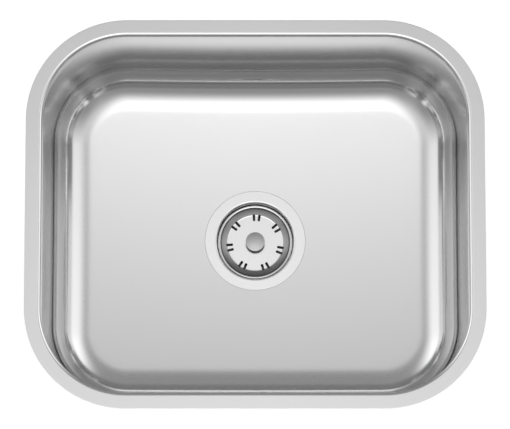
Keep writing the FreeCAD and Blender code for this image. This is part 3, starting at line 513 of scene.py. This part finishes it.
# %% Line of the dish
DISH_SHEET = 0.8
DISH_HOLE = 3.3
FLOOR_RADII = (DISH_HOLE, 11, 18, SLOT_INNER, SLOT_INNER + 1.5 * SLOT_ROUND)
FLOOR_EDGE = ((30.8, 0), (31.9, 0), (32.1, 0.05), (32.4, 0.19), (SLOT_OUTER, 0.45))
DISH_WALL = ((34.2, 1.15), (36.0, 2.22), (37.6, 3.3), (38.5, 3.98), (38.8, 4.35))
SQUARE_END = 0.3
BEAD_STEPS = 10
BEAD_START = math.radians(10)
BEAD_END = math.radians(180)
BEAD_HALF = 1.8
BEAD_RISE = 1.5
LIP_HANG = 2.4

dish_low, dish_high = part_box("basket_dish")
dish_floor = dish_low.z / MM + DISH_SHEET
lip_level = dish_high.z / MM - dish_floor
lip_edge = dish_high.x / MM

bead = [(lip_edge - BEAD_HALF - BEAD_HALF * math.cos(turn),
         lip_level - BEAD_RISE + BEAD_RISE * math.sin(turn))
        for turn in steps(BEAD_STEPS, BEAD_START, BEAD_END)]
pressed = [(radius, 0) for radius in FLOOR_RADII] + list(FLOOR_EDGE) + list(DISH_WALL)
profile = pressed + bead + [(lip_edge, lip_level - LIP_HANG)]
first_slot = profile.index((SLOT_INNER, 0))
last_slot = profile.index(FLOOR_EDGE[-1])


def dish_level(radius):
    """Height of the dish's floor or wall at a radius."""
    for (near, low), (far, high) in zip(pressed, pressed[1:]):
        if near <= radius <= far:
            return low + (high - low) * (radius - near) / (far - near)


def dish_ring(number, depth):
    """One ring of the dish, at some depth below its upper skin."""
    before = Vector(profile[max(number - 1, 0)])
    after = Vector(profile[min(number + 1, len(profile) - 1)])
    along = (after - before).normalized()
    radius, height = Vector(profile[number]) + depth * Vector((along.y, -along.x))
    points = []
    for turn, offset in zip(bearings(radius), offsets):
        end = {first_slot: slot_end(offset), last_slot: -SQUARE_END * slot_end(offset)}.get(number, 0.0)
        rise = dish_level(profile[number][0] + end) - profile[number][1] if end else 0.0
        points.append((radius + end) * towards(turn) + Vector((0, 0, dish_floor + height + rise)))
    return points


print("the dish's line has", len(profile), "points and rises", round(lip_level, 1), "mm")

# %% [markdown]
# Both skins of the sheet have the same columns and rings. Where there is steel, a patch is one face
# in each skin. Where the next patch is missing, at a slot, at the hole or at the lip, a narrow face
# joins the two skins, which is the cut edge of the sheet.

# %% Slotted dish
def is_sheet(ring, column):
    """Whether there is steel between a ring and the next, and between a column and the next."""
    first, second = offsets[column % columns], offsets[(column + 1) % columns]
    slot = first is not None and second is not None and first_slot <= ring < last_slot
    return 0 <= ring < len(profile) - 1 and not slot


under = len(profile) * columns
dish_points = [point * MM for depth in (0, DISH_SHEET) for ring in range(len(profile))
               for point in dish_ring(ring, depth)]
dish_faces = []
for ring in range(len(profile) - 1):
    for column in range(columns):
        if is_sheet(ring, column):
            near, far = column, (column + 1) % columns
            corners = [ring * columns + near, (ring + 1) * columns + near,
                       (ring + 1) * columns + far, ring * columns + far]
            dish_faces += [corners, [under + corner for corner in reversed(corners)]]
            beyond = ((ring, column - 1), (ring + 1, column), (ring, column + 1), (ring - 1, column))
            for side, neighbour in enumerate(beyond):
                if not is_sheet(*neighbour):
                    start, end = corners[side], corners[(side + 1) % len(corners)]
                    dish_faces.append([end, start, under + start, under + end])

dish = new_piece("slotted_dish", dish_points, dish_faces, "basket", "basket_steel")
skin_polish = [float(height > 0 and (radius, height) in pressed)
               for radius, height in profile for column in range(columns)]
note(dish, "polish", 2 * skin_polish)
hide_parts("basket_dish")
print("slotted dish:", len(dish_faces), "faces,", 2 * SLOT_PAIRS, "slots")

# %% [markdown]
# The cup's outside, the outlet collar and the clamp screws are threaded, and below each nut a few
# turns stay in view. A bump could only shade them, and they break the outline, so every thread is
# a ridge that winds up a cylinder and runs out at both ends. A screw keeps a plain neck and a plain
# tip, which turn in the two tabs of its bracket.

# %% Threads
RIDGE = ((0.03, 0), (0.42, 1), (0.58, 1), (0.97, 0))
RUN_OUT = 0.4
END_HEIGHT = 0.05
DRAIN_AXIS = (0, 0)
PIPE_STEPS = 72
PIPE_PITCH = 2.0
PIPE_DEPTH = 0.7
CUP_RADIUS = 44.2
CUP_THREAD = 7.0
COLLAR_RADIUS = 23.9
COLLAR_NECK = 1.6
SCREW_STEPS = 24
SCREW_PITCH = 0.9
SCREW_DEPTH = 0.3
SCREW_RADIUS = 2.0
SCREW_NECK = 5.5
SCREW_TIP = 4.5


def thread(name, centre, root, depth, pitch, foot, top, per_turn, body, slot):
    """A ridge that winds up a cylinder, closed at both ends; all sizes in millimetres."""
    turns = (top - foot) / pitch - 1
    count = round(turns * per_turn)
    points = []
    for step in range(count + 1):
        wound = step / per_turn
        height = depth * max(END_HEIGHT, min(1, wound / RUN_OUT, (turns - wound) / RUN_OUT))
        outwards = towards(math.tau * wound)
        for rise, reach in RIDGE:
            axis = Vector((*centre, foot + pitch * (wound + rise)))
            points.append((axis + outwards * (root + height * reach)) * MM)
    sides = len(RIDGE)
    faces = []
    for first in range(0, count * sides, sides):
        for near in range(sides):
            far = (near + 1) % sides
            faces.append((first + near, first + sides + near, first + sides + far, first + far))
    last = count * sides
    faces += [tuple(range(sides)), tuple(range(last + sides - 1, last - 1, -1))]
    new_piece(name, points, faces, body, slot)


locknut_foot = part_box("locknut")[0].z / MM
thread("cup_thread", DRAIN_AXIS, CUP_RADIUS, PIPE_DEPTH, PIPE_PITCH,
       locknut_foot - CUP_THREAD, locknut_foot, PIPE_STEPS, "sink", "strainer_steel")
coupling_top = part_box("coupling_nut")[1].z / MM
collar_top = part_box("outlet_collar")[1].z / MM
thread("collar_thread", DRAIN_AXIS, COLLAR_RADIUS, PIPE_DEPTH, PIPE_PITCH,
       coupling_top, collar_top - COLLAR_NECK, PIPE_STEPS, "sink", "nut_brass")

screws = [name for name in nodes if name.startswith("clamp_screw")]
for name in screws:
    low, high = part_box(name)
    middle = (low + high) / 2 / MM
    thread(name.replace("clamp_screw", "screw_thread"), (middle.x, middle.y), SCREW_RADIUS,
           SCREW_DEPTH, SCREW_PITCH, low.z / MM + SCREW_NECK, high.z / MM - SCREW_TIP, SCREW_STEPS,
           name.replace("clamp_screw", "screw"), "clamp_steel")
print("threads: cup, collar and", len(screws), "screws")

# %% [markdown]
# Steel mirrors nearly the same share of light at every angle, so it is a metal with a grey base
# colour. What tells satin from polish is roughness. The satin comes from belts that leave fine
# lines, so its grain is noise drawn out along one direction, and it is only strong enough to
# break up a highlight. The outside is never seen in a kitchen and keeps the marks of the press.

# %% Steel of the bowl
SATIN = 0.34
POLISH = 0.10
STEEL_GREY = 0.70
STEEL_SPREAD = 0.015
DULL_GREY = 0.48
DULL_SPREAD = 0.06
GRAIN_STRETCH = (90, 2600, 900)
GRAIN_SWING = 0.10
DRAW_STRETCH = (260, 260, 6)
DRAW_SWING = 0.25
DRAW_MIDDLE = 0.4
CLOUD_SCALE = 9
CLOUD_SWING = 0.04
STEEL_BUMP = 0.0002

bowl_steel = Finish("bowl_steel", metallic=1)
outside = bowl_steel.noted("outside")
satin = 1 - bowl_steel.noted("polish") * (1 - outside)
grain = bowl_steel.noise(bowl_steel.stretch(*GRAIN_STRETCH), detail=3)
cloud = bowl_steel.noise(bowl_steel.place(), scale=CLOUD_SCALE, detail=4)
draw_marks = bowl_steel.noise(bowl_steel.stretch(*DRAW_STRETCH), detail=3)
inner_roughness = POLISH + satin * (SATIN - POLISH + grain.swing(GRAIN_SWING)) + cloud.swing(CLOUD_SWING)
bowl_steel.wear(
    base_color=bowl_steel.blend(outside, bowl_steel.tones(cloud, STEEL_GREY, STEEL_SPREAD),
                                bowl_steel.tones(draw_marks, DULL_GREY, DULL_SPREAD)),
    roughness=inner_roughness + outside * draw_marks.swing(DRAW_SWING, DRAW_MIDDLE),
    normal=bowl_steel.bump(grain * satin, strength=0.05, distance=STEEL_BUMP),
)
print("bowl steel: satin", SATIN, "polish", POLISH)

# %% [markdown]
# The strainer and its basket are turned and pressed on a lathe, so their faint marks run round
# the drain. Noise read along the distance from the axis gives such rings. The basket's drawn wall is
# a blurrier steel than its floor, and its grey is painted darker as shade. The cup stays as the press
# left it, a plainer grey. Hardly any light reaches it under the dish, so its inside there is painted
# dark as shade and the slots look black.

# %% Turned steel
RING_SCALE = 2600
TURNED_CLOUD = 40
TURNED_SPREAD = 0.02
FLAT_FACING = (0.85, 0.99)
INSIDE_FACING = (-0.2, 0.2)
SHADE_AND_GREY_FADE = 0.006


def turned_steel(name, level, satin, polish, marks, shaded_wall_level=None, shade_and_grey_below=None):
    """Steel with faint rings round the drain's axis: one finish on its flats, another on its walls.

    The walls are told by the way they face. Where their grey is painted darker as shade, the mesh's
    note of its polish tells them. Below a height, the inside may be painted dark as shade, the outside a
    plainer grey.
    """
    finish = Finish(name, metallic=1)
    flat = finish.stretch(1, 1, 0)
    radius = finish.node("ShaderNodeVectorMath", {"operation": "LENGTH"}, {0: flat}, out="Value")
    height = finish.axis(finish.place(), "Z")
    along = finish.node("ShaderNodeCombineXYZ", None, {0: radius * RING_SCALE, 1: height * RING_SCALE})
    rings = finish.noise(along, detail=2)
    cloud = finish.noise(finish.place(), scale=TURNED_CLOUD, detail=3)
    facing = finish.node("ShaderNodeTexCoord", out="Normal")
    upwards = finish.axis(facing, "Z")
    tone = finish.tones(cloud, level, TURNED_SPREAD)
    # Painted shade: the walls take a darker grey than the flats.
    if shaded_wall_level:
        flats = 1 - finish.noted("polish")
        tone = finish.blend(flats, grey(shaded_wall_level), tone)
    else:
        flats = upwards.math("ABSOLUTE").between(*FLAT_FACING)
    # Below the height, the inside is painted dark as shade and the outside takes a plainer grey.
    if shade_and_grey_below:
        top, painted_shade_level, outside_level = shade_and_grey_below
        across = finish.node("ShaderNodeVectorMath", {"operation": "DOT_PRODUCT"},
                             {0: facing, 1: flat}, out="Value")
        inside = (upwards - across / radius).between(*INSIDE_FACING)
        below = 1 - height.between(top - SHADE_AND_GREY_FADE, top)
        tone = finish.blend(below, tone, finish.blend(inside, grey(outside_level), grey(painted_shade_level)))
    return finish.wear(
        base_color=tone,
        roughness=polish + flats * (satin - polish + rings.swing(marks)) + cloud.swing(CLOUD_SWING),
        normal=finish.bump(rings, strength=0.04, distance=STEEL_BUMP),
    )


turned = [
    # Painted shade: the cup's inside below the dish is near black.
    turned_steel("strainer_steel", level=0.86, satin=0.40, polish=0.18, marks=0.12,
                 shade_and_grey_below=(dish_low.z, 0.15, 0.42)),
    # Painted shade: the basket's wall is a darker grey than its floor.
    turned_steel("basket_steel", level=0.66, satin=0.16, polish=0.36, marks=0.06, shaded_wall_level=0.48),
    turned_steel("knob_steel", level=0.45, satin=0.34, polish=0.30, marks=0.15),
    turned_steel("tail_chrome", level=0.52, satin=0.07, polish=0.07, marks=0.02),
]
print("turned steels:", len(turned))

# %% [markdown]
# Under the worktop sit cheaper pieces: zinc-plated clamps, rough brass nuts, rubber, foam, a fibre
# ring and two bitumen pads. Each gets the grain that its own making leaves: crystals in the zinc,
# cells in the foam, and a mottled skin on whatever comes out of a mould. The pits of the foam's
# cells are painted darker as shade.

# %% Finishes under the worktop
SPANGLE_SCALE = 900
BLOOM_SCALE = 60
BLOOM_SHARE = 0.5
BLOOM_TINT = (1, 0.95, 0.80)
ZINC_SPREAD = 0.05
ZINC_ROUGH = 0.30
ZINC_SWING = 0.12
MOTTLE_SCALE = 35
SKIN_SWING = 0.15
KNOB_SHINE = 0.05
FOAM_SCALE = 1500
FOAM_ROUGH = 0.95
PORE_SWING = 0.2


def plated(name, level):
    """Zinc plate: small crystals, each a slightly different grey, with a yellowish bloom."""
    finish = Finish(name, metallic=1)
    share = finish.node("ShaderNodeSeparateColor", None, {0: finish.cells(SPANGLE_SCALE, "Color")})
    bloom = finish.noise(finish.place(), scale=BLOOM_SCALE, detail=3)
    yellowish = (*(level * tint for tint in BLOOM_TINT), 1)
    return finish.wear(
        base_color=finish.blend(bloom * BLOOM_SHARE, finish.tones(share, level, ZINC_SPREAD), yellowish),
        roughness=ZINC_ROUGH + share * ZINC_SWING,
        normal=finish.bump(bloom, strength=0.08, distance=0.0004),
    )


def moulded(name, dark, light, roughness, scale, depth):
    """A moulded or cast surface: mottled colour and a fine skin."""
    finish = Finish(name)
    skin_noise = finish.noise(finish.place(), scale=scale, detail=4)
    mottle = finish.noise(finish.place(), scale=MOTTLE_SCALE, detail=3)
    return finish.wear(
        base_color=finish.blend(mottle, dark, light),
        roughness=roughness + skin_noise.swing(SKIN_SWING),
        normal=finish.bump(skin_noise, strength=0.35, distance=depth),
    )


plated("clamp_steel", 0.60)
plated("claw_steel", 0.55)
nut_brass = moulded("nut_brass", (0.60, 0.42, 0.19, 1), (0.74, 0.56, 0.29, 1),
                    roughness=0.36, scale=500, depth=0.0005)
nut_brass.wear(metallic=1.0)
moulded("seal_rubber", grey(0.018), grey(0.035), roughness=0.62, scale=700, depth=0.0002)
moulded("ring_fibre", (0.38, 0.10, 0.06, 1), (0.52, 0.18, 0.11, 1),
        roughness=0.72, scale=1400, depth=0.0003)
# Near black and almost without sheen: partly the knob's own black plastic, partly painted shade, since its
# side stays black where plastic would mirror the bright dish.
knob_plastic = moulded("knob_plastic", grey(0.008), grey(0.016), roughness=0.6, scale=500, depth=0.0001)
knob_plastic.shader.inputs["Specular IOR Level"].default_value = KNOB_SHINE
moulded("washer_plastic", grey(0.76, 0.01), grey(0.84, 0.01), roughness=0.42, scale=400, depth=0.0001)
moulded("stem_plastic", grey(0.70, 0.02), grey(0.80, 0.02), roughness=0.40, scale=400, depth=0.0001)
moulded("pad_bitumen", grey(0.045), grey(0.085), roughness=0.85, scale=320, depth=0.0010)

# The pits of the pores are painted darker, as shade in them.
seal_foam = Finish("seal_foam")
pores = seal_foam.cells(FOAM_SCALE, "Distance")
seal_foam.wear(
    base_color=seal_foam.blend(pores, grey(0.03), grey(0.10)),
    roughness=FOAM_ROUGH - pores * PORE_SWING,
    normal=seal_foam.bump(pores, strength=0.6, distance=0.0004),
)
print("finishes:", len(Finish.made))

# %% [markdown]
# Every node of the frame names its finish in the record, so dressing the sink is a loop. Curved faces
# are shaded smooth, and edges above an angle stay sharp. A small bevel on every edge would catch more
# light, but these pieces are hidden or seen from far away.

# %% Dress the frame and the new pieces
FRAME_SHARP = math.radians(32)

for entry in frame["record"]["subparts"]:
    mesh = nodes[entry["node"]].data
    mesh.shade_smooth()
    mesh.set_sharp_from_angle(angle=FRAME_SHARP)
    mesh.materials.clear()
    mesh.materials.append(Finish.made[entry["material_slot"]].material)
for mesh, slot in new_meshes:
    mesh.materials.append(Finish.made[slot].material)

# %% [markdown]
# The studio is a light tent with a dim fill all round, a bright panel overhead and in front that is
# weaker further out, and two side panels that brighten towards the back. The fill lights the rim and
# the floor, the front panel whitens the back bend of the bowl, the side panels whiten the bends at the
# two ends, and the dark bands in the walls are the steel mirrored in itself a few times over. All of
# it could be area lights, but panels painted on the sky have soft edges, which polished steel shows.

# %% Light tent
FILL = 0.36
SOFTBOX = 1.74
WIDE_SOFTBOX = 0.47
SIDE_WALLS = 1.2
PANEL_FRONT = (-0.85, -0.25)
PANEL_BACK = (-0.2, 0.3)
NARROW_EDGE = (0.1, 0.45)
WIDE_EDGE = (0.45, 0.75)
SIDE_EDGE = (0.4, 0.75)
SIDE_RISE = (-0.5, 0.5)

world = bpy.data.worlds.new("tent")
bpy.context.scene.world = world
world.use_nodes = True
bpy.context.scene.view_settings.view_transform = "Standard"

tent = Graph(world.node_tree)
direction = tent.node("ShaderNodeTexCoord", out="Generated")
side = tent.axis(direction, "X").math("ABSOLUTE")
back = tent.axis(direction, "Y")
front_panel = back.between(*PANEL_FRONT) * (1 - back.between(*PANEL_BACK))
further_out = side.between(*NARROW_EDGE)
wide = further_out * (1 - side.between(*WIDE_EDGE))
side_panels = side.between(*SIDE_EDGE) * back.between(*SIDE_RISE)
glow = FILL + front_panel * (SOFTBOX * (1 - further_out) + WIDE_SOFTBOX * wide) + SIDE_WALLS * side_panels
background = world.node_tree.nodes["Background"]
tent.join((1, 1, 1, 1), background.inputs["Color"])
tent.join(glow, background.inputs["Strength"])
print("tent: fill", FILL, "front panel", SOFTBOX, "side panels", SIDE_WALLS)

# %% [markdown]
# One small softbox close above the back of the bowl adds the glow on the floor behind the drain. A
# panel of the tent is as good as endlessly far away and can't do that, because it lights all of the
# floor alike. The pale floor of the studio glows a little, so that it stays white close to the sink
# as a lit backdrop does.

# %% Near softbox and studio floor
NEAR_TOP = 0.5
NEAR_PLACE = Vector((0, 0.2, 1.2))
NEAR_AIM = Vector((0, 0.15, 0))
NEAR_SIZE = (0.5, 0.45)
FLOOR_REACH = 12.0
FLOOR_GAP = 0.0005
FLOOR_GLOW = 0.44
FLOOR_GREY = 0.90
FLOOR_SPREAD = 0.02
FLOOR_ROUGH = 0.9
SPECKLE_SCALE = 30

light = bpy.data.lights.new("near_top", "AREA")
light.shape = "RECTANGLE"
light.size, light.size_y = NEAR_SIZE
light.energy = math.pi * math.prod(NEAR_SIZE) * NEAR_TOP
lamp = bpy.data.objects.new("near_top", light)
lamp.location = NEAR_PLACE
lamp.rotation_euler = (NEAR_AIM - NEAR_PLACE).to_track_quat("-Z", "Y").to_euler()
bpy.context.scene.collection.objects.link(lamp)

foot = cad_box[0].z - FLOOR_GAP
floor_mesh = bpy.data.meshes.new("studio_floor")
floor_mesh.from_pydata([(-FLOOR_REACH, -FLOOR_REACH, foot), (FLOOR_REACH, -FLOOR_REACH, foot),
                        (FLOOR_REACH, FLOOR_REACH, foot), (-FLOOR_REACH, FLOOR_REACH, foot)],
                       [], [(0, 1, 2, 3)])
studio_floor = bpy.data.objects.new("studio_floor", floor_mesh)
bpy.context.scene.collection.objects.link(studio_floor)
backdrop = Finish("backdrop")
speckle = backdrop.noise(backdrop.place(), scale=SPECKLE_SCALE, detail=2)
backdrop.wear(base_color=backdrop.tones(speckle, FLOOR_GREY, FLOOR_SPREAD), roughness=FLOOR_ROUGH,
              emission_color=grey(1.0), emission_strength=FLOOR_GLOW)
floor_mesh.materials.append(backdrop.material)
print("near softbox", NEAR_TOP, "floor glow", FLOOR_GLOW)

# %% [markdown]
# The dressed sink has to fill the same box as its construction, or the two would not be the same object.
